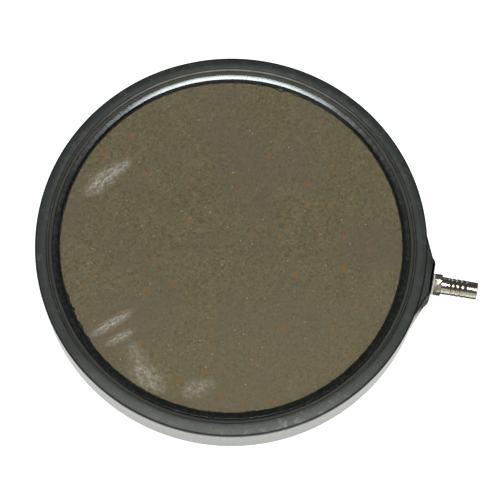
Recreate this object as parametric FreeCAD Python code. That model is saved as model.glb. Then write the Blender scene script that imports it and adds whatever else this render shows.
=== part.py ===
import FreeCAD, Part
import math
import os

# Round air stone: a porous disc in a rubber casing, fed through a hose fitting on its side.
# Millimetres. Origin: centre of the underside, on the surface that the casing stands on.
# +Z up, +X along the hose fitting, away from the disc.

# Rubber casing
casing_radius = 101.5
casing_height = 28.0
casing_foot_radius = 101.0
casing_edge_round = 0.8
foot_corner = 1.0
band_inner_radius = 95.6
band_crown = 0.12
well_radius = 94.8
ledge_radius = 86.5
ledge_z = 12.7
floor_top_z = 5.0
recess_z = 2.0
recess_radius = 86.0
recess_slope = 1.0

# Raised pattern in the underside recess, and the pegs that carry the stone
under_rib_count = 8
under_rib_width = 3.0
under_rib_inner_radius = 16.0
under_rib_z = 0.6
under_ring_radii = (14.0, 50.0)
under_ring_width = 3.0
peg_radius = 4.0
peg_rings = ((30.0, 6), (62.0, 12))

# Boss on the side of the casing
boss_face_x = 105.7
boss_root = (97.5, 25.6)
boss_shoulder = (103.8, 10.6)
boss_corner_y = 8.4
boss_corner_round = 1.4
boss_edge_round = 0.9
boss_bottom_z = 4.3
boss_top_z = 27.4
port_width = 8.0
port_top_z = 17.0
port_outer_x = 96.4
port_inner_x = 84.0

# Stone disc
stone_radius = 90.6
stone_bottom_z = 15.0
stone_top_z = 25.0
stone_chamfer = 0.4

# Gasket: a rubber channel that grips the stone's edge
gasket_outer_radius = 92.5
gasket_lip_radius = 88.9
gasket_bottom_lip_radius = 88.5
gasket_bottom_z = 13.5
gasket_crest_z = 27.5
gasket_crest_radius = 92.2
gasket_shoulder_z = 27.2
gasket_lip_swell = 0.65
gasket_crest_swell = 0.05

# Adhesive and sealant
seam_bottom_z = 18.0
seam_top_z = 26.3
seam_sag = 0.5
bed_inner_radius = 88.8
sealant_width = 0.7
sealant_height = 0.5

# Hose fitting, along +X at this height
fitting_z = 14.0
thread_radius = 3.5
thread_pitch = 1.0
thread_length = 9.0
thread_relief_radius = 2.9
thread_relief_length = 1.2
stem_chamfer = 0.5
fitting_bore_radius = 2.0
washer_thickness = 1.2
washer_radius = 5.5
washer_hole_radius = 3.7
hex_flats = 9.8
hex_length = 3.9
hex_tilt_deg = 13.0
hex_chamfer_radius = 5.1
hex_chamfer_length = 0.45
tail_length = 18.65
tail_radius = 4.5
tail_tip_radius = 4.35
tail_neck_length = 3.0
rib_ends = (4.8, 7.2, 9.8, 12.5)
rib_groove_depth = 0.35
tip_collar_length = 1.2
tip_collar_drop = 0.05
tip_mouth_chamfer = 0.4

# Threaded insert, moulded into the boss
insert_recess = 0.2
insert_length = 9.1
insert_clearance = 0.06
insert_tooth_count = 24
insert_tooth_radius = 6.0
insert_root_radius = 5.6
insert_waist_radius = 5.1
insert_land_length = 3.2

# How far a cutting tool runs past the surface that it opens
overrun = 1.0

# An edge shorter than this in one direction has no length in that direction
flat_limit = 0.01


def point(x, z):
    return FreeCAD.Vector(x, 0, z)


def line(start, end):
    return Part.LineSegment(point(*start), point(*end)).toShape()


def arc(start, middle, end):
    return Part.Arc(point(*start), point(*middle), point(*end)).toShape()


def lines(points):
    return [line(a, b) for a, b in zip(points, points[1:])]


def quarter_inset(radius):
    """How far the middle of a rounded right-angled corner stands back from each side."""
    return radius * (1 - math.cos(math.radians(45)))


def turned(edges, centre=(0, 0), axis=(0, 0, 1)):
    """Turn a closed outline in the XZ plane about an axis through centre (x, z)."""
    face = Part.Face(Part.Wire(edges))
    return face.revolve(point(*centre), FreeCAD.Vector(*axis), 360)


def ring(inner_radius, outer_radius, bottom_z, top_z):
    outer = Part.makeCylinder(outer_radius, top_z - bottom_z, point(0, bottom_z))
    if inner_radius <= 0:
        return outer
    return outer.cut(Part.makeCylinder(inner_radius, top_z - bottom_z, point(0, bottom_z)))


def plan_prism(points, bottom_z, top_z):
    """Upright prism on a closed outline of (x, y) points."""
    corners = [FreeCAD.Vector(x, y, bottom_z) for x, y in points]
    face = Part.Face(Part.makePolygon(corners + corners[:1]))
    return face.extrude(FreeCAD.Vector(0, 0, top_z - bottom_z))


def side_cylinder(radius, start_x, end_x):
    """Cylinder along +X on the fitting's axis."""
    start = FreeCAD.Vector(start_x, 0, fitting_z)
    return Part.makeCylinder(radius, end_x - start_x, start, FreeCAD.Vector(1, 0, 0))


def side_prism(corners, start_x, end_x):
    """Prism along +X on the fitting's axis, from (y, z) corners about that axis."""
    points = [FreeCAD.Vector(start_x, y, fitting_z + z) for y, z in corners]
    face = Part.Face(Part.makePolygon(points + points[:1]))
    return face.extrude(FreeCAD.Vector(end_x - start_x, 0, 0))


def around(shape, count):
    """Copies of a shape, evenly spaced about the disc's axis."""
    copies = []
    for index in range(count):
        copy = shape.copy()
        copy.rotate(FreeCAD.Vector(0, 0, 0), FreeCAD.Vector(0, 0, 1), index * 360 / count)
        copies.append(copy)
    return copies


def tray():
    """Floor, wall and top band of the casing, turned as one outline."""
    top = casing_height
    edge = casing_edge_round
    inset = quarter_inset(edge)
    band_outer = casing_radius - edge
    band_inner = band_inner_radius + edge
    inner_fall = top - band_crown - (band_inner - well_radius)
    foot = casing_foot_radius
    foot_inset = quarter_inset(foot_corner)
    recess_foot = recess_radius + recess_slope
    outside = [
        line((0, recess_z), (recess_radius, recess_z)),
        line((recess_radius, recess_z), (recess_foot, 0)),
        line((recess_foot, 0), (foot - foot_corner, 0)),
        arc((foot - foot_corner, 0), (foot - foot_inset, foot_inset), (foot, foot_corner)),
        line((foot, foot_corner), (casing_radius, top - edge)),
        arc(
            (casing_radius, top - edge),
            (casing_radius - inset, top - inset),
            (band_outer, top - band_crown),
        ),
    ]
    band_middle = ((band_outer + band_inner) / 2, top)
    turn = band_inner - well_radius
    turn_inset = quarter_inset(turn)
    inner_middle = (well_radius + turn_inset, top - band_crown - turn_inset)
    inside = [
        arc((band_outer, top - band_crown), band_middle, (band_inner, top - band_crown)),
        arc((band_inner, top - band_crown), inner_middle, (well_radius, inner_fall)),
    ]
    well = lines([
        (well_radius, inner_fall),
        (well_radius, ledge_z),
        (ledge_radius, ledge_z),
        (ledge_radius, floor_top_z),
        (0, floor_top_z),
        (0, recess_z),
    ])
    return turned(outside + inside + well)


def boss():
    """Wedge-sided boss that carries the fitting, with rounded corners and edges."""
    half = [boss_root, boss_shoulder, (boss_face_x, boss_corner_y)]
    outline = half + [(x, -y) for x, y in reversed(half)]
    body = plan_prism(outline, boss_bottom_z, boss_top_z)
    outside_shoulder = (boss_shoulder[0] + boss_face_x) / 2
    corners = [e for e in body.Edges if is_upright(e) and e.BoundBox.XMin > outside_shoulder]
    body = body.makeFillet(boss_corner_round, corners)
    rims = [e for e in body.Edges if lies_level(e) and e.BoundBox.XMax > casing_radius - band_crown]
    return body.makeFillet(boss_edge_round, rims)


def is_upright(edge):
    box = edge.BoundBox
    return box.ZLength > flat_limit and box.XLength < flat_limit and box.YLength < flat_limit


def lies_level(edge):
    return edge.BoundBox.ZLength < flat_limit


def pegs():
    """Pegs on the casing's floor that hold the stone off it."""
    height = stone_bottom_z - floor_top_z
    shapes = [Part.makeCylinder(peg_radius, height, point(0, floor_top_z))]
    for ring_radius, count in peg_rings:
        peg = Part.makeCylinder(peg_radius, height, point(ring_radius, floor_top_z))
        shapes.extend(around(peg, count))
    return shapes


def under_pattern():
    """Low ribs and rings that stiffen the floor from below."""
    half = under_rib_width / 2
    inner = under_rib_inner_radius
    outline = [(inner, -half), (recess_radius, -half), (recess_radius, half), (inner, half)]
    rib = plan_prism(outline, under_rib_z, recess_z)
    shapes = around(rib, under_rib_count)
    for radius in under_ring_radii:
        shapes.append(ring(radius - under_ring_width, radius, under_rib_z, recess_z))
    return shapes


def air_port():
    """Pocket that leads air from the insert down under the stone."""
    half = port_width / 2
    outline = [(port_inner_x, -half), (port_outer_x, -half), (port_outer_x, half), (port_inner_x, half)]
    return plan_prism(outline, floor_top_z, port_top_z)


def insert_body():
    """Insert without its bore: two toothed lands with a waist between them."""
    start = boss_face_x - insert_recess - insert_length
    end = boss_face_x - insert_recess
    corners = []
    for index in range(2 * insert_tooth_count):
        radius = insert_root_radius if index % 2 else insert_tooth_radius
        angle = math.pi * index / insert_tooth_count
        corners.append((radius * math.cos(angle), radius * math.sin(angle)))
    inner_land = side_prism(corners, start, start + insert_land_length)
    outer_land = side_prism(corners, end - insert_land_length, end)
    waist = side_cylinder(insert_waist_radius, start, end)
    return waist.fuse([inner_land, outer_land]).removeSplitter()


def rubber_casing():
    body = tray().fuse([boss()] + pegs() + under_pattern()).removeSplitter()
    seat = insert_body()
    mouth = side_cylinder(insert_waist_radius, boss_face_x - insert_recess, boss_face_x + overrun)
    return body.cut([seat, mouth, air_port()]).removeSplitter()


def stone_disc():
    disc = Part.makeCylinder(stone_radius, stone_top_z - stone_bottom_z, point(0, stone_bottom_z))
    return disc.makeChamfer(stone_chamfer, [e for e in disc.Edges if lies_level(e)])


def edge_gasket():
    lip = gasket_lip_radius
    lip_face_z = stone_top_z + sealant_height
    lip_bulge = (
        (lip + gasket_crest_radius) / 2 - gasket_lip_swell,
        (lip_face_z + gasket_crest_z) / 2 + gasket_lip_swell,
    )
    shoulder = (gasket_outer_radius, gasket_shoulder_z)
    crest = (gasket_crest_radius, gasket_crest_z)
    crest_end = (
        (gasket_crest_radius + gasket_outer_radius) / 2 + gasket_crest_swell,
        gasket_crest_z - gasket_crest_swell,
    )
    edges = [
        line((lip, stone_top_z), (lip, lip_face_z)),
        arc((lip, lip_face_z), lip_bulge, crest),
        arc(crest, crest_end, shoulder),
    ]
    edges += lines([
        shoulder,
        (gasket_outer_radius, gasket_bottom_z),
        (gasket_bottom_lip_radius, gasket_bottom_z),
        (gasket_bottom_lip_radius, stone_bottom_z),
        (stone_radius, stone_bottom_z),
        (stone_radius, stone_top_z),
        (lip, stone_top_z),
    ])
    return turned(edges)


def seam_adhesive():
    """Bead between the gasket and the casing's wall, its top sunk between them."""
    inner = (gasket_outer_radius, seam_top_z)
    outer = (well_radius, seam_top_z)
    sunk = ((gasket_outer_radius + well_radius) / 2, seam_top_z - seam_sag)
    edges = [arc(inner, sunk, outer)]
    edges += lines([
        outer,
        (well_radius, seam_bottom_z),
        (gasket_outer_radius, seam_bottom_z),
        inner,
    ])
    return turned(edges)


def bed_adhesive():
    return ring(bed_inner_radius, gasket_outer_radius, ledge_z, gasket_bottom_z)


def edge_sealant():
    lip = gasket_lip_radius
    return turned(lines([
        (lip - sealant_width, stone_top_z),
        (lip, stone_top_z),
        (lip, stone_top_z + sealant_height),
        (lip - sealant_width, stone_top_z),
    ]))


def inlet_insert():
    bore_radius = thread_radius + insert_clearance
    start = boss_face_x - insert_recess - insert_length
    return insert_body().cut(side_cylinder(bore_radius, start - overrun, boss_face_x + overrun))


def sealing_washer():
    end_x = boss_face_x + washer_thickness
    outer = side_cylinder(washer_radius, boss_face_x, end_x)
    return outer.cut(side_cylinder(washer_hole_radius, boss_face_x - overrun, end_x + overrun))


def hexagon(start_x):
    """Spanner hexagon with its outer corners chamfered."""
    corner_radius = hex_flats / 2 / math.cos(math.radians(30))
    corners = []
    for index in range(6):
        angle = math.radians(60 * index + hex_tilt_deg)
        corners.append((corner_radius * math.cos(angle), corner_radius * math.sin(angle)))
    end_x = start_x + hex_length
    prism = side_prism(corners, start_x, end_x)
    shoulder_x = end_x - hex_chamfer_length
    limit = lines([
        (start_x, fitting_z),
        (start_x, fitting_z + corner_radius),
        (shoulder_x, fitting_z + corner_radius),
        (end_x, fitting_z + hex_chamfer_radius),
        (end_x, fitting_z),
        (start_x, fitting_z),
    ])
    return prism.common(turned(limit, (0, fitting_z), (1, 0, 0)))


def hose_tail_edges(root_x):
    """Outer line of the ribbed tail, from the hexagon to its tip."""
    crown_z = fitting_z + tail_radius
    groove_z = crown_z - rib_groove_depth
    tip_x = root_x + tail_length
    neck_end_x = root_x + tail_neck_length
    first_groove_x = root_x + rib_ends[0]
    fall_run = first_groove_x - neck_end_x
    fall_radius = (fall_run ** 2 + rib_groove_depth ** 2) / (2 * rib_groove_depth)
    fall_middle_z = crown_z - fall_radius + math.sqrt(fall_radius ** 2 - (fall_run / 2) ** 2)
    edges = [
        line((root_x, crown_z), (neck_end_x, crown_z)),
        arc((neck_end_x, crown_z), (neck_end_x + fall_run / 2, fall_middle_z), (first_groove_x, groove_z)),
    ]
    for start, end in zip(rib_ends, rib_ends[1:]):
        crown = (root_x + (start + end) / 2, crown_z)
        edges.append(arc((root_x + start, groove_z), crown, (root_x + end, groove_z)))
    collar_x = root_x + rib_ends[-1]
    edges += lines([
        (collar_x, groove_z),
        (collar_x + tip_collar_length, crown_z - tip_collar_drop),
        (tip_x - tip_mouth_chamfer, fitting_z + tail_tip_radius),
        (tip_x, fitting_z + tail_tip_radius - tip_mouth_chamfer),
    ])
    return edges


def hose_fitting():
    seat_x = boss_face_x + washer_thickness
    tail_x = seat_x + hex_length
    stem_x = boss_face_x - thread_length
    axis = fitting_z
    stem = turned(lines([
        (stem_x, axis),
        (stem_x, axis + thread_radius - stem_chamfer),
        (stem_x + stem_chamfer, axis + thread_radius),
        (seat_x - thread_relief_length, axis + thread_radius),
        (seat_x - thread_relief_length, axis + thread_relief_radius),
        (seat_x, axis + thread_relief_radius),
        (seat_x, axis),
        (stem_x, axis),
    ]), (0, axis), (1, 0, 0))
    tail_outline = hose_tail_edges(tail_x)
    tip_x = tail_x + tail_length
    tail_outline += lines([
        (tip_x, axis + tail_tip_radius - tip_mouth_chamfer),
        (tip_x, axis),
        (tail_x, axis),
        (tail_x, axis + tail_radius),
    ])
    tail = turned(tail_outline, (0, axis), (1, 0, 0))
    body = hexagon(seat_x).fuse([stem, tail]).removeSplitter()
    return body.cut(side_cylinder(fitting_bore_radius, stem_x - overrun, tip_x + overrun))


nodes = {
    "rubber_casing": rubber_casing,
    "stone_disc": stone_disc,
    "edge_gasket": edge_gasket,
    "seam_adhesive": seam_adhesive,
    "bed_adhesive": bed_adhesive,
    "edge_sealant": edge_sealant,
    "inlet_insert": inlet_insert,
    "sealing_washer": sealing_washer,
    "hose_fitting": hose_fitting,
}

os.makedirs("parts", exist_ok=True)
for name, make in nodes.items():
    shape = make()
    solids = shape.Solids
    print(name, "solids", len(solids), "valid", shape.isValid(), "volume", round(shape.Volume, 1))
    solid = solids[0] if len(solids) == 1 else Part.makeCompound(solids)
    solid.exportStep(os.path.join("parts", name + ".step"))
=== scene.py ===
import math
import bpy
from mathutils import Matrix, Vector, noise


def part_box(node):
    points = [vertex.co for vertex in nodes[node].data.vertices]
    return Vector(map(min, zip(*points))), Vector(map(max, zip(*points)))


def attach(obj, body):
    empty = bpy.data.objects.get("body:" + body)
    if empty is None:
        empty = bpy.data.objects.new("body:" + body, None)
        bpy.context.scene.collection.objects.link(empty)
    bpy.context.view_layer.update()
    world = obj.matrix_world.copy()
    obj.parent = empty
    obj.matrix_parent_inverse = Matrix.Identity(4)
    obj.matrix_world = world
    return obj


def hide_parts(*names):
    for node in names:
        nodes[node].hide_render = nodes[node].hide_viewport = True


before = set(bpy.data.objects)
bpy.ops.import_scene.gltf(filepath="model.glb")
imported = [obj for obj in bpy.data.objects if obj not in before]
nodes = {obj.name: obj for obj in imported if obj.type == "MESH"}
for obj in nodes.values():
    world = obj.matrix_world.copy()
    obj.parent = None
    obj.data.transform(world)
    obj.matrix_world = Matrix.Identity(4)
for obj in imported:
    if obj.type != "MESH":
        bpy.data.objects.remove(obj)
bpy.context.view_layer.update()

mm = 0.001
slack = 0.00001  # metres, for comparing places


def cleanSelection():
    if bpy.context.object and bpy.context.object.mode != "OBJECT":
        bpy.ops.object.mode_set(mode="OBJECT")
    bpy.ops.object.select_all(action="DESELECT")


def onlySelect(piece):
    cleanSelection()
    piece.select_set(True)
    bpy.context.view_layer.objects.active = piece


def applyPlace(piece):
    onlySelect(piece)
    bpy.ops.object.transform_apply(location=True, rotation=True, scale=True)


def applyModifiers(piece):
    onlySelect(piece)
    for modifier in list(piece.modifiers):
        bpy.ops.object.modifier_apply(modifier=modifier.name)


def editPiece(piece, kind):
    onlySelect(piece)
    bpy.ops.object.mode_set(mode="EDIT")
    bpy.ops.mesh.select_mode(type=kind)
    bpy.ops.mesh.select_all(action="DESELECT")


def pickFaces(piece, wanted):
    editPiece(piece, "FACE")
    bpy.ops.object.mode_set(mode="OBJECT")
    for face in piece.data.polygons:
        face.select = wanted(face.center, face.normal)
    bpy.ops.object.mode_set(mode="EDIT")


def pickEdges(piece, wanted):
    editPiece(piece, "EDGE")
    bpy.ops.object.mode_set(mode="OBJECT")
    points = piece.data.vertices
    for edge in piece.data.edges:
        a, b = (points[index].co for index in edge.vertices)
        edge.select = wanted((a + b) / 2, b - a)
    bpy.ops.object.mode_set(mode="EDIT")


def tidyMesh(piece):
    editPiece(piece, "VERT")
    bpy.ops.mesh.select_all(action="SELECT")
    bpy.ops.mesh.remove_doubles(threshold=0.000002)
    bpy.ops.mesh.normals_make_consistent(inside=False)
    bpy.ops.object.mode_set(mode="OBJECT")


def smoothShade(piece, degrees):
    onlySelect(piece)
    bpy.ops.object.shade_smooth_by_angle(angle=math.radians(degrees))


def roundedOutline(corners, steps):  # corners are (radius, height, rounding) in mm
    share = 0.48  # the most of a run that one rounding takes
    points = []
    for index, (x, z, rounding) in enumerate(corners):
        here = Vector((x, z))
        if rounding == 0:
            points.append(here)
            continue
        before = Vector(corners[index - 1][:2]) - here
        after = Vector(corners[(index + 1) % len(corners)][:2]) - here
        half = before.angle(after) / 2
        reach = min(rounding / math.tan(half), before.length * share, after.length * share)
        start = here + before.normalized() * reach
        end = here + after.normalized() * reach
        for step in range(steps + 1):
            t = step / steps
            points.append(start * (1 - t) ** 2 + here * 2 * t * (1 - t) + end * t ** 2)
    return points


def fillGaps(points, longest):  # adds stations on long straight runs
    filled = [points[0]]
    for a, b in zip(points, points[1:]):
        count = max(1, math.ceil((b - a).length / longest))
        for step in range(1, count + 1):
            filled.append(a.lerp(b, step / count))
    return filled


def turnedPiece(name, outline, segments, loop=False):  # outline is (radius, height) in mm, turned about Z
    cleanSelection()
    first = outline[0]
    bpy.ops.mesh.primitive_circle_add(vertices=segments, radius=first.x * mm, location=(0, 0, first.y * mm))
    piece = bpy.context.object
    piece.name = piece.data.name = name
    applyPlace(piece)
    editPiece(piece, "VERT")
    bpy.ops.mesh.select_all(action="SELECT")
    stations = outline[1:] + ([first] if loop else [])
    previous = first
    for station in stations:
        bpy.ops.mesh.extrude_region_move()
        grow = station.x / previous.x
        bpy.ops.transform.resize(value=(grow, grow, 1), center_override=(0, 0, previous.y * mm))
        bpy.ops.transform.translate(value=(0, 0, (station.y - previous.y) * mm))
        previous = station
    bpy.ops.object.mode_set(mode="OBJECT")
    return piece


def closePoles(piece):  # fills the small rings left at the two ends of an open outline
    editPiece(piece, "EDGE")
    bpy.ops.mesh.select_non_manifold()
    bpy.ops.mesh.fill_holes(sides=0)
    tidyMesh(piece)


def layAlongFitting(piece):  # a piece turned about Z is laid along +X at the fitting's height
    onlySelect(piece)
    piece.rotation_euler = (0, math.radians(90), 0)
    piece.location = (0, 0, fittingHeight)
    applyPlace(piece)


def booleanWith(piece, tool, operation):
    modifier = piece.modifiers.new(operation, "BOOLEAN")
    modifier.operation = operation
    modifier.solver = "EXACT"
    modifier.object = tool
    applyModifiers(piece)
    bpy.data.objects.remove(tool)


def roughen(piece, name, grain, depth):  # both in metres
    texture = bpy.data.textures.new(name, "CLOUDS")
    texture.noise_scale = grain
    modifier = piece.modifiers.new(name, "DISPLACE")
    modifier.texture = texture
    modifier.texture_coords = "LOCAL"
    modifier.direction = "NORMAL"
    modifier.strength = depth
    modifier.mid_level = 0.5
    applyModifiers(piece)


casingLow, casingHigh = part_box("rubber_casing")
stoneLow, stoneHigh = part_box("stone_disc")
gasketLow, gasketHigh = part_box("edge_gasket")
seamLow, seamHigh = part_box("seam_adhesive")
insertLow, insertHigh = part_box("inlet_insert")
washerLow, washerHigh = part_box("sealing_washer")
fittingLow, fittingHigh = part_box("hose_fitting")

# in mm, apart from fittingHeight, which is in metres
casingRadius = -casingLow.x / mm
casingTop = casingHigh.z / mm
bossFace = casingHigh.x / mm
stoneRadius = stoneHigh.y / mm
stoneTop = stoneHigh.z / mm
stoneBottom = stoneLow.z / mm
gasketRadius = gasketHigh.y / mm
gasketTop = gasketHigh.z / mm
gasketBottom = gasketLow.z / mm
wellRadius = seamHigh.y / mm
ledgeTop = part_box("bed_adhesive")[0].z / mm
insertRadius = (insertHigh.z - insertLow.z) / 2 / mm
fittingHeight = (washerLow.z + washerHigh.z) / 2
print("frame read: casing radius", round(casingRadius, 1), "mm, height", round(casingTop, 1), "mm")

casing = {  # in mm, apart from the wobble, which is in metres
    "segments": 288,
    "roundSteps": 5,
    "longestStep": 4.0,
    "poleRadius": 0.4,
    "footRadius": casingRadius - 0.5,
    "footRound": 1.0,
    "crownDrop": 0.12,
    "crownRound": 4.0,
    "edgeRound": 0.8,
    "innerRound": 1.6,
    "recessHeight": 2.0,
    "recessRadius": 86.0,
    "recessSlope": 1.0,
    "recessRound": 0.3,
    "ribHeight": 0.6,
    "ribTop": 3.0,
    "ribWidth": 3.0,
    "ribRound": 0.4,
    "ribOverlap": 1.0,
    "ribCount": 8,
    "ringEdges": ((11.0, 14.0), (47.0, 50.0)),
    "floorTop": 5.0,
    "floorRound": 0.5,
    "ledgeRadius": 86.5,
    "ledgeRounds": (0.2, 0.3),
    "wobbleGrain": 0.03,
    "wobbleDepth": 0.00012,
    "smoothAngle": 40,
}
boss = {  # in mm
    "backX": 96.5,
    "root": (97.5, 25.6),
    "shoulder": (103.8, 10.6),
    "cornerY": 8.4,
    "bottom": 4.3,
    "top": casingTop - 0.6,
    "cornerRound": 1.4,
    "edgeRound": 0.9,
    "insertHoleX": 94.0,
    "mouthX": 100.0,
    "mouthRadius": 5.1,
}


def makeCasingTray():
    look = casing
    pole = look["poleRadius"]
    small = look["recessRound"]
    recess = look["recessRadius"]
    rimZ = casingTop - look["crownDrop"]
    outerRound, innerRound = look["ledgeRounds"]
    corners = [(pole, look["recessHeight"], 0)]
    for inner, outer in look["ringEdges"]:
        corners.append((inner, look["recessHeight"], small))
        corners.append((inner, look["ribHeight"], small))
        corners.append((outer, look["ribHeight"], small))
        corners.append((outer, look["recessHeight"], small))
    corners += [
        (recess, look["recessHeight"], small),
        (recess + look["recessSlope"], 0, small),
        (look["footRadius"], 0, look["footRound"]),
        (casingRadius, rimZ, look["edgeRound"]),
        ((casingRadius + wellRadius) / 2, casingTop, look["crownRound"]),
        (wellRadius, rimZ, look["innerRound"]),
        (wellRadius, ledgeTop, outerRound),
        (look["ledgeRadius"], ledgeTop, innerRound),
        (look["ledgeRadius"], look["floorTop"], look["floorRound"]),
        (pole, look["floorTop"], 0),
    ]
    outline = fillGaps(roundedOutline(corners, look["roundSteps"]), look["longestStep"])
    tray = turnedPiece("rubberCasing", outline, look["segments"])
    closePoles(tray)
    return tray


def makeBoss():  # a block inside the wall, drawn out in two steps to the flat that the washer seats on
    look = boss
    rootX, rootY = look["root"]
    middleZ = (look["top"] + look["bottom"]) / 2 * mm
    cleanSelection()
    bpy.ops.mesh.primitive_cube_add(size=1, location=((rootX + look["backX"]) / 2 * mm, 0, middleZ))
    piece = bpy.context.object
    piece.name = "bossWedge"
    piece.scale = ((rootX - look["backX"]) * mm, rootY * 2 * mm, (look["top"] - look["bottom"]) * mm)
    applyPlace(piece)
    steps = (look["root"], look["shoulder"], (bossFace, look["cornerY"]))
    pickFaces(piece, lambda centre, normal: normal.x > 0.9)
    for (fromX, fromY), (toX, toY) in zip(steps, steps[1:]):
        bpy.ops.mesh.extrude_region_move(TRANSFORM_OT_translate={"value": ((toX - fromX) * mm, 0, 0)})
        bpy.ops.transform.resize(value=(1, toY / fromY, 1), center_override=(toX * mm, 0, middleZ))
    frontX = bossFace * mm - slack
    pickEdges(piece, lambda centre, run: centre.x > frontX and abs(run.z) > slack)
    bpy.ops.mesh.bevel(offset=look["cornerRound"] * mm, segments=5, affect="EDGES")

    def onRim(centre, run):  # the level edges outside the wall, without those across a flat face
        across = abs(centre.y) < slack and centre.x < frontX
        return centre.x > (rootX + 1) * mm and abs(run.z) < slack and not across

    pickEdges(piece, onRim)
    bpy.ops.mesh.bevel(offset=look["edgeRound"] * mm, segments=4, affect="EDGES")
    bpy.ops.object.mode_set(mode="OBJECT")
    tidyMesh(piece)
    return piece


def makeUnderRibs():
    look = casing
    tall = look["ribTop"] - look["ribHeight"]
    inner = look["ringEdges"][0][0] + look["ribOverlap"]
    outer = look["recessRadius"] + 2 * look["ribOverlap"]
    middle = ((inner + outer) / 2 * mm, 0, (look["ribHeight"] + tall / 2) * mm)
    lowest = look["ribHeight"] * mm + slack
    ribs = []
    for index in range(look["ribCount"]):
        cleanSelection()
        bpy.ops.mesh.primitive_cube_add(size=1, location=middle)
        rib = bpy.context.object
        rib.scale = ((outer - inner) * mm, look["ribWidth"] * mm, tall * mm)
        applyPlace(rib)
        pickEdges(rib, lambda centre, run: centre.z < lowest and abs(run.x) > slack)
        bpy.ops.mesh.bevel(offset=look["ribRound"] * mm, segments=3, affect="EDGES")
        bpy.ops.object.mode_set(mode="OBJECT")
        rib.rotation_euler = (0, 0, math.radians(360 / look["ribCount"] * (index + 0.5)))
        applyPlace(rib)
        ribs.append(rib)
    onlySelect(ribs[0])
    for rib in ribs[1:]:
        rib.select_set(True)
    bpy.ops.object.join()
    return ribs[0]


def makeBar(radius, startX, endX, sides=64):  # a bar along the fitting's line, in mm
    cleanSelection()
    bpy.ops.mesh.primitive_cylinder_add(
        vertices=sides,
        radius=radius * mm,
        depth=(endX - startX) * mm,
        location=((startX + endX) / 2 * mm, 0, fittingHeight),
        rotation=(0, math.radians(90), 0),
    )
    bar = bpy.context.object
    applyPlace(bar)
    return bar


def makeCasing():
    tray = makeCasingTray()
    roughen(tray, "casingWobble", casing["wobbleGrain"], casing["wobbleDepth"])
    booleanWith(tray, makeBoss(), "UNION")
    booleanWith(tray, makeUnderRibs(), "UNION")
    booleanWith(tray, makeBar(insertRadius, boss["insertHoleX"], insertHigh.x / mm), "DIFFERENCE")
    booleanWith(tray, makeBar(boss["mouthRadius"], boss["mouthX"], bossFace + 1), "DIFFERENCE")
    smoothShade(tray, casing["smoothAngle"])
    return tray


stone = {  # in mm, apart from the grains, which are (size, depth) in metres
    "segments": 448,
    "roundSteps": 2,
    "ringStep": 0.85,
    "longestStep": 2.5,
    "poleRadius": 0.5,
    "edgeRound": 0.4,
    "undersideRings": (60, 30),
    "grains": ((0.0011, 0.00022), (0.006, 0.00010), (0.03, 0.00020)),
    "smoothAngle": 60,
}


def makeStone():  # fine rings on the top face, so that the grain is real relief
    look = stone
    rings = [Vector((look["poleRadius"], stoneTop))]
    count = round(stoneRadius / look["ringStep"])
    for index in range(1, count):
        rings.append(Vector((stoneRadius * index / count, stoneTop)))
    corners = [
        (rings[-1].x, stoneTop, 0),
        (stoneRadius, stoneTop, look["edgeRound"]),
        (stoneRadius, stoneBottom, look["edgeRound"]),
    ]
    corners += [(radius, stoneBottom, 0) for radius in (*look["undersideRings"], look["poleRadius"])]
    rings += fillGaps(roundedOutline(corners, look["roundSteps"]), look["longestStep"])[1:]
    piece = turnedPiece("stoneDisc", rings, look["segments"])
    closePoles(piece)
    for index, (grain, depth) in enumerate(look["grains"]):
        roughen(piece, "stoneGrain" + str(index), grain, depth)
    smoothShade(piece, look["smoothAngle"])
    return piece


gasket = {  # in mm, apart from the wobble, which is in metres
    "segments": 320,
    "roundSteps": 5,
    "longestStep": 3.0,
    "lipRadius": 88.9,
    "lipHeight": 26.3,
    "lipRound": 0.5,
    "curlRadius": 89.8,
    "curlFall": 0.35,
    "curlRound": 0.7,
    "crestRadius": 92.3,
    "crestRound": 0.12,
    "outerFall": 0.15,
    "outerRound": 0.15,
    "bottomLipRadius": 88.5,
    "bottomRound": 0.2,
    "channelRound": 0.1,
    "wobbleGrain": 0.012,
    "wobbleDepth": 0.00008,
    "smoothAngle": 50,
}


def makeGasket():
    look = gasket
    lip = look["lipRadius"]
    bottomLip = look["bottomLipRadius"]
    channel = look["channelRound"]
    corners = [
        (lip, stoneTop, channel),
        (lip, look["lipHeight"], look["lipRound"]),
        (look["curlRadius"], gasketTop - look["curlFall"], look["curlRound"]),
        (look["crestRadius"], gasketTop, look["crestRound"]),
        (gasketRadius, gasketTop - look["outerFall"], look["outerRound"]),
        (gasketRadius, gasketBottom, look["bottomRound"]),
        (bottomLip, gasketBottom, look["bottomRound"]),
        (bottomLip, stoneBottom, channel),
        (stoneRadius, stoneBottom, channel),
        (stoneRadius, stoneTop, channel),
    ]
    outline = fillGaps(roundedOutline(corners, look["roundSteps"]), look["longestStep"])
    piece = turnedPiece("edgeGasket", outline, look["segments"], loop=True)
    tidyMesh(piece)
    roughen(piece, "gasketWobble", look["wobbleGrain"], look["wobbleDepth"])
    smoothShade(piece, look["smoothAngle"])
    return piece


seam = {  # in mm, apart from the lumps, which are in metres
    "segments": 320,
    "roundSteps": 3,
    "longestStep": 0.5,
    "overlap": 0.1,
    "valleyHalf": 0.6,
    "sag": 0.5,
    "valleyRound": 0.3,
    "bottomRound": 0.2,
    "lumpGrain": 0.004,
    "lumpDepth": 0.0005,
    "smoothAngle": 60,
}


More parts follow.
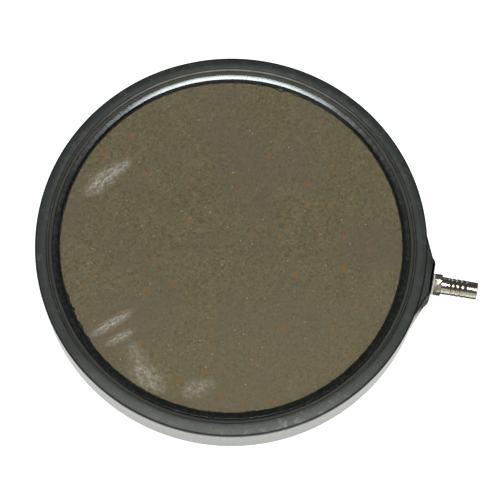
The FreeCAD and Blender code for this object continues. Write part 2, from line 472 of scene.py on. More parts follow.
def makeSeam():
    look = seam
    top = seamHigh.z / mm
    bottom = seamLow.z / mm
    inner = gasketRadius - look["overlap"]
    outer = wellRadius + look["overlap"]
    middle = (gasketRadius + wellRadius) / 2
    corners = [
        (inner, top, 0),
        (middle - look["valleyHalf"], top - look["sag"], look["valleyRound"]),
        (middle + look["valleyHalf"], top - look["sag"], look["valleyRound"]),
        (outer, top, 0),
        (outer, bottom, look["bottomRound"]),
        (inner, bottom, look["bottomRound"]),
    ]
    outline = fillGaps(roundedOutline(corners, look["roundSteps"]), look["longestStep"])
    piece = turnedPiece("seamAdhesive", outline, look["segments"], loop=True)
    tidyMesh(piece)
    roughen(piece, "seamLumps", look["lumpGrain"], look["lumpDepth"])
    smoothShade(piece, look["smoothAngle"])
    return piece


sealant = {  # in mm, apart from the lumps, which are in metres
    "segments": 720,
    "roundSteps": 3,
    "width": 0.5,
    "height": 0.5,
    "sunk": 0.15,
    "overlap": 0.2,
    "crownRound": 0.5,
    "backRound": 0.2,
    "edgeRound": 0.1,
    "lumpGrain": 0.0022,
    "lumpDepth": 0.0007,
    "raggedGrain": 900,
    "tongues": (  # degrees round, half spread in degrees, reach
        (208, 3.0, 0.8),
        (213, 4.0, 1.5),
        (219, 3.0, 1.2),
        (224, 3.0, 0.7),
        (83, 2.5, 1.0),
        (77, 2.0, 0.7),
        (286, 3.0, 0.6),
    ),
    "smoothAngle": 60,
}


def makeSealant():
    look = sealant
    lip = gasket["lipRadius"]
    low = stoneTop - look["sunk"]
    corners = [
        (lip - look["width"], low, look["edgeRound"]),
        (lip - look["width"] * 0.5, stoneTop + look["height"] * 0.7, look["crownRound"]),
        (lip + look["overlap"], stoneTop + look["height"], look["backRound"]),
        (lip + look["overlap"], low, look["edgeRound"]),
    ]
    outline = roundedOutline(corners, look["roundSteps"])
    piece = turnedPiece("edgeSealant", outline, look["segments"], loop=True)
    tidyMesh(piece)
    roughen(piece, "sealantLumps", look["lumpGrain"], look["lumpDepth"])
    for degrees, spread, reach in look["tongues"]:
        pullTongue(piece, degrees, spread, reach)
    smoothShade(piece, look["smoothAngle"])
    return piece


def pullTongue(piece, degrees, spread, reach):  # drags a stretch of the bead inwards over the stone
    lip = (gasket["lipRadius"] - sealant["width"] * 0.5) * mm
    for vertex in piece.data.vertices:
        angle = math.degrees(math.atan2(vertex.co.y, vertex.co.x)) % 360
        away = abs((angle - degrees + 180) % 360 - 180)
        if away < spread and vertex.co.xy.length < lip:
            fall = math.cos(away / spread * math.pi / 2) ** 2
            ragged = 0.7 + 0.6 * noise.noise(vertex.co * sealant["raggedGrain"])
            vertex.co.xy *= 1 - reach * mm * fall * ragged / lip


washer = {"segments": 96, "roundSteps": 3, "holeRadius": 3.7, "edgeRound": 0.25, "smoothAngle": 40}


def makeWasher():
    inner = washer["holeRadius"]
    outer = (washerHigh.z - washerLow.z) / 2 / mm
    start = washerLow.x / mm
    end = washerHigh.x / mm
    edge = washer["edgeRound"]
    corners = [(inner, start, edge), (outer, start, edge), (outer, end, edge), (inner, end, edge)]
    outline = roundedOutline(corners, washer["roundSteps"])
    piece = turnedPiece("sealingWasher", outline, washer["segments"], loop=True)
    tidyMesh(piece)
    layAlongFitting(piece)
    smoothShade(piece, washer["smoothAngle"])
    return piece


fitting = {  # in mm, and the tilt in degrees
    "segments": 96,
    "poleRadius": 0.3,
    "hexFlats": 9.8,
    "hexLength": 3.9,
    "hexTilt": 13.0,
    "hexChamfer": (0.45, 5.1),
    "hexEdgeRound": 0.12,
    "tailRadius": 4.5,
    "tailSunk": 1.0,
    "neckRoot": ((-1.0, 1.0), (-0.5, 0.5), (-0.3, 0.0)),  # along from the hexagon, in from the tail's radius
    "neckLength": 3.0,
    "ribEnds": (4.8, 7.2, 9.8, 12.5),
    "ribSteps": 9,
    "ribSquareness": 0.45,
    "grooveDepth": 0.35,
    "lastRib": ((0.6, 0.12), (1.3, 0.05), (1.9, 0.12)),  # along from the last groove, in as above
    "tipRadius": 4.35,
    "tip": ((0.45, -0.04), (0.15, 0.12), (0.0, 0.4)),  # back from the end, in from the tip's radius
    "boreRadius": 2.0,
    "mouthRadii": (1.6, 2.6),
    "mouthDepth": 0.5,
    "coreRadius": 2.95,
    "stemRound": 0.3,
    "threadRadius": 3.5,
    "threadSunk": 0.15,
    "threadHalfWidth": 0.42,
    "threadStart": 0.6,
    "threadEnd": 1.4,
    "threadSteps": 48,
    "pitch": 1.0,
    "smoothAngle": 28,
}


def tailOutline(rootX, tipX):
    look = fitting
    radius = look["tailRadius"]
    groove = radius - look["grooveDepth"]
    start = rootX + look["neckLength"]
    points = [Vector((look["poleRadius"], rootX - look["tailSunk"]))]
    for along, inwards in look["neckRoot"]:
        points.append(Vector((radius - inwards, rootX + along)))
    points.append(Vector((radius, start - 0.1)))
    points.append(Vector((radius - 0.08, start)))
    for ribEnd in look["ribEnds"]:
        end = rootX + ribEnd
        for step in range(1, look["ribSteps"]):
            t = step / look["ribSteps"]
            bulge = math.sin(math.pi * t) ** look["ribSquareness"]
            points.append(Vector((groove + look["grooveDepth"] * bulge, start + (end - start) * t)))
        points.append(Vector((groove, end)))
        start = end
    for along, inwards in look["lastRib"]:
        points.append(Vector((radius - inwards, start + along)))
    for back, inwards in look["tip"]:
        points.append(Vector((look["tipRadius"] - inwards, tipX - back)))
    points.append(Vector((look["poleRadius"], tipX)))
    return points


def makeHexagon(startX):  # a six-sided bar, with its corners cut back by two cones
    look = fitting
    endX = startX + look["hexLength"]
    pole = look["poleRadius"]
    cornerRadius = look["hexFlats"] / 2 / math.cos(math.radians(30))
    prism = makeBar(cornerRadius, startX, endX, sides=6)
    onlySelect(prism)
    turn = math.radians(look["hexTilt"] - 30)
    bpy.ops.transform.rotate(value=turn, orient_axis="X", center_override=(0, 0, fittingHeight))
    applyPlace(prism)
    chamferLength, chamferRadius = look["hexChamfer"]
    limit = [
        Vector((pole, startX - 0.1)),
        Vector((chamferRadius + 0.2, startX - 0.1)),
        Vector((cornerRadius + 0.1, startX + chamferLength * 0.7)),
        Vector((cornerRadius + 0.1, endX - chamferLength)),
        Vector((chamferRadius, endX + 0.001)),
        Vector((pole, endX + 0.001)),
    ]
    cone = turnedPiece("hexLimit", limit, look["segments"])
    closePoles(cone)
    layAlongFitting(cone)
    booleanWith(prism, cone, "INTERSECT")
    pickEdges(prism, lambda centre, run: abs(run.x) > 2 * mm)  # the six long edges
    bpy.ops.mesh.bevel(offset=look["hexEdgeRound"] * mm, segments=2, affect="EDGES")
    bpy.ops.object.mode_set(mode="OBJECT")
    return prism


def makeThread(startX, endX):  # a triangle screwed along the stem
    look = fitting
    root = (look["coreRadius"] - look["threadSunk"]) * mm
    half = look["threadHalfWidth"] * mm
    cleanSelection()
    bpy.ops.mesh.primitive_circle_add(vertices=3, radius=1, fill_type="NOTHING")
    thread = bpy.context.object
    thread.data.vertices[0].co = (root, 0, -half)
    thread.data.vertices[1].co = (look["threadRadius"] * mm, 0, 0)
    thread.data.vertices[2].co = (root, 0, half)
    screw = thread.modifiers.new("threadTurns", "SCREW")
    screw.axis = "Z"
    screw.steps = look["threadSteps"]
    screw.render_steps = look["threadSteps"]
    screw.iterations = int((endX - startX) / look["pitch"]) - 1
    screw.screw_offset = look["pitch"] * mm
    screw.use_smooth_shade = False
    applyModifiers(thread)
    closePoles(thread)
    thread.location = (0, 0, (startX + look["threadStart"]) * mm)
    applyPlace(thread)
    layAlongFitting(thread)
    return thread


def makeStem(stemX, seatX):
    look = fitting
    core = look["coreRadius"]
    outline = [
        Vector((look["poleRadius"], stemX)),
        Vector((core - look["stemRound"], stemX)),
        Vector((core, stemX + look["stemRound"])),
        Vector((core, seatX + 1)),
        Vector((look["poleRadius"], seatX + 1)),
    ]
    stem = turnedPiece("fittingStem", outline, look["segments"])
    closePoles(stem)
    layAlongFitting(stem)
    booleanWith(stem, makeThread(stemX, seatX - look["threadEnd"]), "UNION")
    return stem


def makeMouth(tipX):  # the cone that opens the bore at the tip
    pole = fitting["poleRadius"]
    inner, outer = fitting["mouthRadii"]
    bottomX = tipX - fitting["mouthDepth"]
    topX = tipX + 0.1
    outline = [Vector((pole, bottomX)), Vector((inner, bottomX)), Vector((outer, topX)), Vector((pole, topX))]
    mouth = turnedPiece("tipMouth", outline, fitting["segments"])
    closePoles(mouth)
    layAlongFitting(mouth)
    return mouth


def makeFitting():
    look = fitting
    seatX = washerHigh.x / mm
    tipX = fittingHigh.x / mm
    stemX = fittingLow.x / mm
    outline = tailOutline(seatX + look["hexLength"], tipX)
    body = turnedPiece("hoseFitting", outline, look["segments"])
    closePoles(body)
    layAlongFitting(body)
    booleanWith(body, makeHexagon(seatX), "UNION")
    booleanWith(body, makeStem(stemX, seatX), "UNION")
    booleanWith(body, makeBar(look["boreRadius"], stemX - 1, tipX + 1), "DIFFERENCE")
    booleanWith(body, makeMouth(tipX), "DIFFERENCE")
    smoothShade(body, look["smoothAngle"])
    return body


rubberCasing = makeCasing()
print("casing turned, boss and ribs joined")
stoneDisc = makeStone()
print("stone disc turned and roughened")
edgeGasket = makeGasket()
seamAdhesive = makeSeam()
edgeSealant = makeSealant()
print("gasket, seam and sealant laid")
sealingWasher = makeWasher()
hoseFitting = makeFitting()
print("fitting turned and threaded")


class Shader:  # a material's tree with short calls for its nodes
    def __init__(self, name):
        self.material = bpy.data.materials.new(name)
        self.material.use_nodes = True
        self.tree = self.material.node_tree
        self.shader = self.tree.nodes["Principled BSDF"]
        self.place = self.add("ShaderNodeTexCoord").outputs["Object"]

    def add(self, kind, **settings):
        node = self.tree.nodes.new(kind)
        for key, value in settings.items():
            setattr(node, key, value)
        return node

    def link(self, source, target):
        self.tree.links.new(source, target)

    def mapping(self, place=(0, 0, 0), turn=(0, 0, 0), scale=(1, 1, 1)):
        node = self.add("ShaderNodeMapping", vector_type="TEXTURE")
        node.inputs["Location"].default_value = place
        node.inputs["Rotation"].default_value = turn
        node.inputs["Scale"].default_value = scale
        self.link(self.place, node.inputs["Vector"])
        return node.outputs["Vector"]

    # size is in metres, or in the units of the vector
    def noise(self, size, detail, roughness, vector=None, distortion=0):
        node = self.add("ShaderNodeTexNoise")
        node.inputs["Scale"].default_value = 1 / size
        node.inputs["Detail"].default_value = detail
        node.inputs["Roughness"].default_value = roughness
        node.inputs["Distortion"].default_value = distortion
        self.link(vector or self.place, node.inputs["Vector"])
        return node.outputs["Fac"]

    def cells(self, size, dimensions="3D"):
        node = self.add("ShaderNodeTexVoronoi", voronoi_dimensions=dimensions)
        node.inputs["Scale"].default_value = 1 / size
        self.link(self.place, node.inputs["Vector"])
        return node

    def channel(self, cells, name):  # one colour channel, a random value for each cell
        node = self.add("ShaderNodeSeparateColor")
        self.link(cells.outputs["Color"], node.inputs["Color"])
        return node.outputs[name]

    def vectorMath(self, operation, vector, other=(0, 0, 0), output="Vector"):
        node = self.add("ShaderNodeVectorMath", operation=operation)
        self.link(vector, node.inputs[0])
        node.inputs[1].default_value = other
        return node.outputs[output]

    def radius(self):  # distance from the disc's axis
        return self.vectorMath("LENGTH", self.vectorMath("MULTIPLY", self.place, (1, 1, 0)), output="Value")

    def height(self):
        return self.along((0, 0, 1))

    def bands(self, rings, waves):  # rings about the disc's axis, drawn out round it
        turned = self.vectorMath("NORMALIZE", self.vectorMath("MULTIPLY", self.place, (1, 1, 0)))
        split = self.add("ShaderNodeSeparateXYZ")
        self.link(turned, split.inputs["Vector"])
        node = self.add("ShaderNodeCombineXYZ")
        self.link(self.math("MULTIPLY", self.radius(), rings), node.inputs["X"])
        self.link(self.math("MULTIPLY", split.outputs["X"], waves), node.inputs["Y"])
        self.link(self.math("MULTIPLY", split.outputs["Y"], waves), node.inputs["Z"])
        return node.outputs["Vector"]

    def along(self, direction):  # distance from the origin towards one side
        return self.vectorMath("DOT_PRODUCT", self.place, direction, output="Value")

    def strip(self, value, low, high, soft):  # 1 between low and high, fading out over soft
        return self.math("MULTIPLY", self.ramp(value, low - soft, low), self.ramp(value, high + soft, high))

    def ramp(self, value, low, high, lowOut=0.0, highOut=1.0):
        node = self.add("ShaderNodeMapRange", clamp=True)
        node.inputs["From Min"].default_value = low
        node.inputs["From Max"].default_value = high
        node.inputs["To Min"].default_value = lowOut
        node.inputs["To Max"].default_value = highOut
        self.link(value, node.inputs["Value"])
        return node.outputs["Result"]

    def math(self, operation, a, b):
        node = self.add("ShaderNodeMath", operation=operation)
        for socket, value in zip(node.inputs, (a, b)):
            if isinstance(value, (int, float)):
                socket.default_value = value
            else:
                self.link(value, socket)
        return node.outputs["Value"]

    def mix(self, factor, first, second):  # first and second are colours or sockets
        node = self.add("ShaderNodeMix", data_type="RGBA")
        for name, value in (("Factor_Float", factor), ("A_Color", first), ("B_Color", second)):
            socket = next(s for s in node.inputs if s.identifier == name)
            if isinstance(value, tuple):
                socket.default_value = (*value, 1)
            else:
                self.link(value, socket)
        return next(s for s in node.outputs if s.identifier == "Result_Color")

    def bump(self, height, depth, strength):
        node = self.add("ShaderNodeBump")
        node.inputs["Distance"].default_value = depth
        node.inputs["Strength"].default_value = strength
        self.link(height, node.inputs["Height"])
        return node.outputs["Normal"]

    def finish(self, colour, roughness, normal=None, **fixed):
        self.link(colour, self.shader.inputs["Base Color"])
        self.link(roughness, self.shader.inputs["Roughness"])
        if normal:
            self.link(normal, self.shader.inputs["Normal"])
        for name, value in fixed.items():
            self.shader.inputs[name].default_value = value
        return self.material


def dress(piece, material):
    piece.data.materials.clear()
    piece.data.materials.append(material)
    for face in piece.data.polygons:
        face.material_index = 0


nearSide = (0.168, -0.986, 0.0)  # towards the near side of the disc, where dust settles; painted light and shade are graded along it too
dustySide = (0.370, -0.929, 0.0)  # towards the middle of its heaviest dust
stoneLook = {  # colours, and sizes in mm
    "base": (0.190, 0.160, 0.078),
    "dark": (0.115, 0.096, 0.046),
    "light": (0.270, 0.235, 0.130),
    "cloud": (0.12, 0.11, 0.07),
    "plum": (0.165, 0.135, 0.098),
    "rust": (0.28, 0.150, 0.048),
    "speck": (0.42, 0.41, 0.34),
    "chalk": (0.62, 0.63, 0.55),
    "grainSize": 0.9,
    "pitSize": 0.5,
    "cloudSize": 20,
    "plumSize": 34,
    "rustSize": 12,
    "speckSize": 5,
    "powderSize": 1.2,
    "paintedLightSide": (0, 90),  # painted light: the light tone comes in between these, towards nearSide, where the lighting is brighter
    "smearDepth": 20,
    "bumpDepth": 0.3,
    "smears": (  # place, length and width, turn in degrees, strength
        ((-71.3, 24.2), (15, 6), 52, 1.0),
        ((-64.3, 31.2), (9, 4), 50, 0.85),
        ((-53.5, -51.4), (15, 3.4), 42, 1.0),
        ((-47.8, -58), (10, 3.0), 40, 0.9),
        ((-30.4, -76.3), (13, 8), 150, 0.75),
        ((-38, -66), (10, 6), 130, 0.45),
        ((-5.4, -78.3), (8, 6), 30, 0.6),
        ((-0.7, -75.1), (7, 4), 30, 0.4),
    ),
}


def chalkSmears(s):  # how much chalk lies at each place, from 0 to 1
    depth = stoneLook["smearDepth"] * mm
    total = None
    for (x, y), (length, width), degrees, strength in stoneLook["smears"]:
        place = (x * mm, y * mm, stoneHigh.z)
        here = s.mapping(place, (0, 0, math.radians(degrees)), (length * mm, width * mm, depth))
        ball = s.add("ShaderNodeTexGradient", gradient_type="SPHERICAL")
        s.link(here, ball.inputs["Vector"])
        streaks = s.noise(0.35, 5, 0.7, vector=here)
        amount = s.math("MULTIPLY", s.ramp(ball.outputs["Fac"], 0.0, 0.6), s.ramp(streaks, 0.38, 0.62))
        amount = s.math("MULTIPLY", amount, strength)
        total = amount if total is None else s.math("MAXIMUM", total, amount)
    powder = s.ramp(s.noise(stoneLook["powderSize"] * mm, 3, 0.7), 0.35, 0.6, 0.25, 1.0)
    return s.math("MULTIPLY", total, powder)


def stoneMaterial():
    look = stoneLook
    s = Shader("bondedGrit")
    grain = s.cells(look["grainSize"] * mm)
    colour = s.mix(s.ramp(s.channel(grain, "Red"), 0.0, 0.55), look["dark"], look["base"])
    colour = s.mix(s.ramp(s.channel(grain, "Green"), 0.75, 1.0, 0, 0.75), colour, look["light"])
    cloud = s.noise(look["cloudSize"] * mm, 4, 0.6)
    colour = s.mix(s.ramp(cloud, 0.35, 0.7, 0, 0.35), colour, look["cloud"])
    plum = s.noise(look["plumSize"] * mm, 3, 0.5)
    colour = s.mix(s.ramp(plum, 0.42, 0.68, 0, 0.5), colour, look["plum"])
    # painted light: the stone's colour lightens towards the near side, where the lighting is brighter
    litStart, litEnd = look["paintedLightSide"]
    paintedLight = s.ramp(s.along(nearSide), litStart * mm, litEnd * mm, 0, 0.3)
    colour = s.mix(paintedLight, colour, look["light"])
    rust = s.cells(look["rustSize"] * mm, "2D")
    spots = s.ramp(rust.outputs["Distance"], 0.17, 0.03)
    rare = s.ramp(s.channel(rust, "Red"), 0.55, 0.75)
    colour = s.mix(s.math("MULTIPLY", spots, s.math("MULTIPLY", rare, 0.75)), colour, look["rust"])
    specks = s.cells(look["speckSize"] * mm, "2D")
    tiny = s.ramp(specks.outputs["Distance"], 0.09, 0.05)
    few = s.ramp(s.channel(specks, "Blue"), 0.8, 1.0)
    colour = s.mix(s.math("MULTIPLY", tiny, few), colour, look["speck"])
    colour = s.mix(chalkSmears(s), colour, look["chalk"])
    height = s.math("ADD", grain.outputs["Distance"], s.noise(look["pitSize"] * mm, 2, 0.6))
    normal = s.bump(height, look["bumpDepth"] * mm, 0.6)
    return s.finish(colour, s.ramp(s.channel(grain, "Blue"), 0, 1, 0.75, 0.95), normal)


rubberLook = {  # colours, and sizes and places in mm
    "black": (0.010, 0.0125, 0.0115),
    "dust": (0.062, 0.076, 0.076),
    "blue": (0.030, 0.035, 0.042),
    "green": (0.034, 0.044, 0.032),
    "chalk": (0.40, 0.42, 0.37),
    # wall: a painted reflection of the white floor, on black rubber
    "wall": (0.18, 0.19, 0.145),
    # edge: a painted highlight on the rounding of the inner edge
    "edge": (0.62, 0.62, 0.54),
    "wallTint": (0.93, 0.97, 0.86, 1),
    "patchSize": 16,
    "tintSize": 7,
    "streakSize": 5,
    "fineSize": 1.5,
    "dripSize": (1.6, 1.6, 50),
    "settled": (55, 101),  # towards nearSide
    "heavy": (84, 101),  # towards dustySide
    "highlightFade": (-98, -60),  # painted highlight on the inner edge fades between these, towards nearSide
    "edgeRadius": (94.4, 95.15),
    "edgeSoft": 0.25,
    "rimRadius": (100.4, 100.7),
    "wallRadius": (99, 100),
    "wallTop": (25.4, 24.9),
    # painted shade at the wall's base, darker towards the floor, between these heights
    "footShade": (2.5, 0.3),
    "bumpDepth": 0.08,
}


def casingMaterial():
    look = rubberLook
    s = Shader("dustyRubber")
    patches = s.noise(look["patchSize"] * mm, 5, 0.6, distortion=0.4)
    fine = s.noise(look["fineSize"] * mm, 4, 0.7)
    streaks = s.noise(look["streakSize"] * mm, 5, 0.7, distortion=0.6)
    tint = s.noise(look["tintSize"] * mm, 3, 0.6)

    def fade(value, name, lowOut=0.0, highOut=1.0):  # runs between the two places of that name
        low, high = look[name]
        return s.ramp(value, low * mm, high * mm, lowOut, highOut)

    # the band: dust and tinges on black
    dust = s.math("MULTIPLY", s.ramp(patches, 0.35, 0.75), s.ramp(fine, 0.3, 0.7, 0.4, 1.0))
    colour = s.mix(s.math("MULTIPLY", dust, 0.5), look["black"], look["dust"])
    colour = s.mix(s.ramp(tint, 0.44, 0.64, 0, 0.8), colour, look["blue"])
    colour = s.mix(s.ramp(tint, 0.5, 0.32, 0, 0.6), colour, look["green"])
    # chalky dust, settled on the near side
    settled = fade(s.along(nearSide), "settled", 0, 0.32)
    heavy = s.math("MULTIPLY", fade(s.along(dustySide), "heavy"), s.ramp(streaks, 0.42, 0.66))
    chalk = s.math("MAXIMUM", settled, s.math("MULTIPLY", heavy, 0.9))
    chalk = s.math("MAXIMUM", chalk, s.ramp(streaks, 0.56, 0.8, 0, 0.25))
    chalk = s.math("MULTIPLY", chalk, s.ramp(fine, 0.25, 0.65, 0.55, 1.0))
    colour = s.mix(chalk, colour, look["chalk"])
    # a painted highlight on the inner edge, brightest towards the far side, and the dark outer rim
    edgeLow, edgeHigh = look["edgeRadius"]
    edge = s.strip(s.radius(), edgeLow * mm, edgeHigh * mm, look["edgeSoft"] * mm)
    highlightFade = fade(s.along(nearSide), "highlightFade", 1.0, 0.22)
    highlightFade = s.math("MULTIPLY", highlightFade, s.ramp(streaks, 0.3, 0.65, 0.6, 1.0))
    colour = s.mix(s.math("MULTIPLY", edge, highlightFade), colour, look["edge"])
    colour = s.mix(fade(s.radius(), "rimRadius", 0, 0.85), colour, look["black"])
    # painted reflection of the white floor on the black side wall, streaked downwards, and painted shade at
    # its base
    drips = s.noise(1.0, 4, 0.6, vector=s.mapping(scale=tuple(size * mm for size in look["dripSize"])))
    outside = s.math("MULTIPLY", fade(s.height(), "wallTop"), fade(s.radius(), "wallRadius"))
    colour = s.mix(s.math("MULTIPLY", outside, s.ramp(drips, 0.3, 0.7, 0.7, 1.0)), colour, look["wall"])
    colour = s.mix(fade(s.height(), "footShade", 0, 0.6), colour, look["black"])
    normal = s.bump(fine, look["bumpDepth"] * mm, 0.5)
    roughness = s.math("MINIMUM", s.ramp(dust, 0.0, 1.0, 0.42, 0.6), s.ramp(outside, 0, 1, 0.6, 0.27))
    s.link(s.ramp(outside, 0, 1, 0.25, 0.68), s.shader.inputs["Specular IOR Level"])
    return s.finish(colour, roughness, normal, **{"Specular Tint": look["wallTint"]})


gasketLook = {  # colours, and sizes in mm
    "black": (0.010, 0.012, 0.011),
    "grey": (0.028, 0.030, 0.026),
    "speck": (0.25, 0.25, 0.22),
    "tint": (0.92, 1.0, 0.98, 1),
    "specular": 0.38,
    "roughness": (0.14, 0.2),
    "fineSize": 2,
    "speckSize": 9,
}


def gasketMaterial():
    look = gasketLook
    s = Shader("glossyRubber")
    fine = s.noise(look["fineSize"] * mm, 3, 0.6)
    colour = s.mix(s.ramp(fine, 0.45, 0.8), look["black"], look["grey"])
    tiny = s.ramp(s.cells(look["speckSize"] * mm).outputs["Distance"], 0.07, 0.03)
    colour = s.mix(s.math("MULTIPLY", tiny, 0.8), colour, look["speck"])
    gloss = {"Specular IOR Level": look["specular"], "Specular Tint": look["tint"]}
    return s.finish(colour, s.ramp(fine, 0.3, 0.8, *look["roughness"]), **gloss)


seamLook = {  # colours, and sizes in mm
    "dark": (0.026, 0.024, 0.016),
    "light": (0.13, 0.12, 0.088),
    "line": (0.014, 0.013, 0.010),
    "shade": (0.014, 0.014, 0.012),
    "lumpSize": 6,
    "fineSize": 1,
    "bumpDepth": 0.3,
    "shadeSide": (-90, 0),  # painted shade: the dark tone comes in between these, towards nearSide
    "rings": 2200.0,  # to a metre
    "waves": 9.0,
}


def seamMaterial():
    look = seamLook
    s = Shader("curedAdhesive")
    lumps = s.noise(look["lumpSize"] * mm, 4, 0.6)
    colour = s.mix(lumps, look["dark"], look["light"])
    lines = s.noise(1.0, 3, 0.7, vector=s.bands(look["rings"], look["waves"]))
    colour = s.mix(s.ramp(lines, 0.48, 0.66, 0, 0.75), colour, look["line"])
    # painted shade, darker towards the near side of the groove
    shadeStart, shadeEnd = look["shadeSide"]
    shade = s.ramp(s.along(nearSide), shadeStart * mm, shadeEnd * mm, 0, 0.7)
    colour = s.mix(shade, colour, look["shade"])
    relief = s.math("ADD", lines, s.noise(look["fineSize"] * mm, 3, 0.6))
    normal = s.bump(relief, look["bumpDepth"] * mm, 0.5)
    return s.finish(colour, s.ramp(lumps, 0, 1, 0.5, 0.75), normal)


sealantLook = {  # colours, and sizes in mm
    "black": (0.011, 0.012, 0.011),
    "grey": (0.035, 0.035, 0.03),
    "lumpSize": 3,
    "bumpDepth": 0.2,
    "roughness": (0.3, 0.55),
}


def sealantMaterial():
    look = sealantLook
    s = Shader("blackSealant")
    lumps = s.noise(look["lumpSize"] * mm, 4, 0.6)
    colour = s.mix(s.ramp(lumps, 0.4, 0.8), look["black"], look["grey"])
    normal = s.bump(lumps, look["bumpDepth"] * mm, 0.4)
    return s.finish(colour, s.ramp(lumps, 0, 1, *look["roughness"]), normal)


metalLook = {  # colours, and sizes in mm
    "bright": (0.64, 0.61, 0.52),
    "tarnished": (0.42, 0.38, 0.28),
    "roughness": (0.16, 0.28),
    "turningSize": (0.2, 20, 20),
    "smudgeSize": 1.8,
    "bumpDepth": 0.03,
}


def turningMarks(s, size):  # fine rings about the fitting's line
    rings = s.mapping(scale=tuple(length * mm for length in size))
    return s.noise(1.0, 3, 0.6, vector=rings)


def metalMaterial():
    look = metalLook
    s = Shader("nickelPlate")
    smudge = s.noise(look["smudgeSize"] * mm, 4, 0.65)
    colour = s.mix(s.ramp(smudge, 0.35, 0.7), look["bright"], look["tarnished"])
    normal = s.bump(turningMarks(s, look["turningSize"]), look["bumpDepth"] * mm, 0.35)
    return s.finish(colour, s.ramp(smudge, 0.3, 0.7, *look["roughness"]), normal, Metallic=1.0)


washerLook = {  # colours, and sizes in mm
    "dull": (0.80, 0.79, 0.68),
    "clean": (0.90, 0.89, 0.79),
    "roughness": (0.4, 0.55),
    "toneSize": 1.5,
    "bumpDepth": 0.05,
}


def washerMaterial():
    look = washerLook
    s = Shader("paleWasher")
    tone = s.noise(look["toneSize"] * mm, 4, 0.6)
    colour = s.mix(tone, look["dull"], look["clean"])
    normal = s.bump(tone, look["bumpDepth"] * mm, 0.3)
    return s.finish(colour, s.ramp(tone, 0, 1, *look["roughness"]), normal)


brassLook = {  # colours, and sizes in mm
    "dull": (0.42, 0.30, 0.12),
    "bright": (0.66, 0.50, 0.22),
    "roughness": (0.25, 0.4),
    "turningSize": (0.3, 10, 10),
    "bumpDepth": 0.04,
}


def brassMaterial():
    look = brassLook
    s = Shader("turnedBrass")
    tone = turningMarks(s, look["turningSize"])
    colour = s.mix(tone, look["dull"], look["bright"])
    normal = s.bump(tone, look["bumpDepth"] * mm, 0.4)
    return s.finish(colour, s.ramp(tone, 0, 1, *look["roughness"]), normal, Metallic=1.0)


dress(stoneDisc, stoneMaterial())
dress(rubberCasing, casingMaterial())
dress(edgeGasket, gasketMaterial())
adhesive = seamMaterial()
dress(seamAdhesive, adhesive)
dress(nodes["bed_adhesive"], adhesive)
dress(edgeSealant, sealantMaterial())
dress(hoseFitting, metalMaterial())
dress(sealingWasher, washerMaterial())
dress(nodes["inlet_insert"], brassMaterial())
print("finishes applied")

pieces = (  # piece, body, the CAD node it stands for, material slot
    (rubberCasing, "casing", "rubber_casing", "casing_rubber"),
    (stoneDisc, "casing", "stone_disc", "porous_stone"),
    (edgeGasket, "casing", "edge_gasket", "gasket_rubber"),
    (seamAdhesive, "casing", "seam_adhesive", "adhesive"),
    (edgeSealant, "casing", "edge_sealant", "sealant"),
    (sealingWasher, "washer", "sealing_washer", "washer_plastic"),
    (hoseFitting, "fitting", "hose_fitting", "plated_metal"),
)
for piece, body, node, slot in pieces:
    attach(piece, body)
    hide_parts(node)

stage = {  # in metres, as the lights and the floor are all round the object
    "floorSize": 16.0,
    "floorZ": -0.0002,
    "floorColour": (0.30, 0.30, 0.30),
    "floorGlow": 1.1,
    "backdropRadius": 9.6,
    "matt": 0.8,
    "lightHeight": 2.0,
    "lightBack": 0.06,
    "lightSize": 0.46,
    "lightPower": 25,
    "panelGlow": 0.65,
    "panelSize": (4.0, 1.6),
    "panelBack": -2.0,
    "skyColour": (0.06, 0.06, 0.065),
    "cardColour": (0.045, 0.035, 0.025),
    "cardX": 0.252,
    "cardWidth": 0.296,
    "cardNear": -0.023,
    "cardFar": 0.5,
    "cardZ": 0.001,
}
camera = {
    "azimuth": 9.7,
    "elevation": 74.2,
    "distance": 1.4,
    "lens": 195.2,
    "sensor": 36,
    "aimRight": 0.00966,
    "aimDown": 0.00336,
}


def glowMaterial(name, colour, glow):
    material = bpy.data.materials.new(name)
    material.use_nodes = True
    shader = material.node_tree.nodes["Principled BSDF"]
    shader.inputs["Base Color"].default_value = (*colour, 1)
    shader.inputs["Roughness"].default_value = stage["matt"]
    shader.inputs["Emission Color"].default_value = (1, 1, 1, 1)
    shader.inputs["Emission Strength"].default_value = glow
    return material


def asStage(name, material, scale=(1, 1, 1)):  # the object just added is floor, backdrop, card or panel
    thing = bpy.context.object
    thing.name = name
    thing.scale = scale
    dress(thing, material)
    return thing


def makeFloor():
    cleanSelection()
    bpy.ops.mesh.primitive_plane_add(size=stage["floorSize"], location=(0, 0, stage["floorZ"]))
    asStage("floor", glowMaterial("paleFloor", stage["floorColour"], stage["floorGlow"]))
    cleanSelection()
    bpy.ops.mesh.primitive_uv_sphere_add(radius=stage["backdropRadius"], segments=48, ring_count=24)
    backdrop = asStage("backdrop", glowMaterial("paleBackdrop", (0, 0, 0), 1.0))
    backdrop.visible_diffuse = False
    backdrop.visible_glossy = False
    backdrop.visible_shadow = False


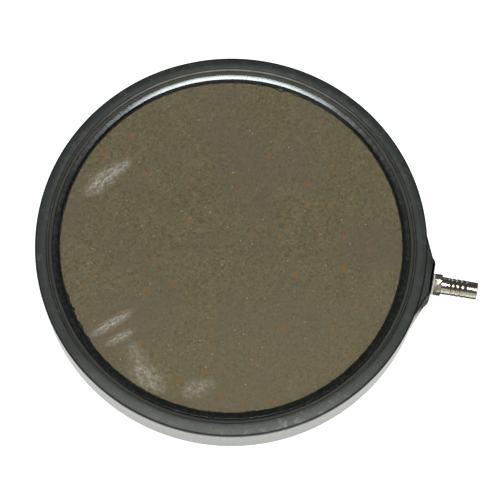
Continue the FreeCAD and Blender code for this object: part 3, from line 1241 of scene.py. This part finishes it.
def makeCards():  # a dark card that the metal reflects, and a bright panel that the wall reflects
    cleanSelection()
    depth = stage["cardFar"] - stage["cardNear"]
    place = (stage["cardX"], stage["cardNear"] + depth / 2, stage["cardZ"])
    bpy.ops.mesh.primitive_plane_add(size=1, location=place)
    dark = glowMaterial("darkCard", stage["cardColour"], 0)
    card = asStage("darkCard", dark, (stage["cardWidth"], depth, 1))
    card.visible_camera = False
    card.visible_diffuse = False
    card.visible_shadow = False
    cleanSelection()
    width, height = stage["panelSize"]
    place = (0, stage["panelBack"], height / 2)
    bpy.ops.mesh.primitive_plane_add(size=1, location=place, rotation=(math.pi / 2, 0, 0))
    bright = glowMaterial("fillPanel", (0, 0, 0), stage["panelGlow"])
    panel = asStage("fillPanel", bright, (width, height, 1))
    panel.visible_camera = False


def makeLight():
    bpy.ops.object.light_add(type="AREA", location=(0, stage["lightBack"], stage["lightHeight"]))
    light = bpy.context.object
    light.name = "softLight"
    light.rotation_euler = (-math.atan2(stage["lightBack"], stage["lightHeight"]), 0, 0)
    light.data.shape = "DISK"
    light.data.size = stage["lightSize"]
    light.data.energy = stage["lightPower"]
    world = bpy.data.worlds.new("studio")
    world.use_nodes = True
    world.node_tree.nodes["Background"].inputs["Color"].default_value = (*stage["skyColour"], 1)
    bpy.context.scene.world = world
    bpy.context.scene.view_settings.view_transform = "Standard"


def makeCamera():
    turn = math.radians(camera["azimuth"])
    tilt = math.radians(camera["elevation"])
    right = Vector((math.cos(turn), math.sin(turn), 0))
    ahead = Vector((-math.sin(turn), math.cos(turn), 0))
    view = (ahead * math.cos(tilt) - Vector((0, 0, 1)) * math.sin(tilt)).normalized()
    up = right.cross(view)
    centre = Vector((0, 0, casingHigh.z))
    aim = centre + right * camera["aimRight"] - up * camera["aimDown"]
    place = centre - view * camera["distance"]
    bpy.ops.object.camera_add(location=place)
    shot = bpy.context.object
    shot.name = "shot"
    shot.data.lens = camera["lens"]
    shot.data.sensor_width = camera["sensor"]
    forward = (aim - place).normalized()
    side = (right - forward * right.dot(forward)).normalized()
    shot.rotation_euler = Matrix((side, side.cross(forward), -forward)).transposed().to_euler()
    bpy.context.scene.camera = shot


makeFloor()
makeCards()
makeLight()
makeCamera()
print("stage and camera set")
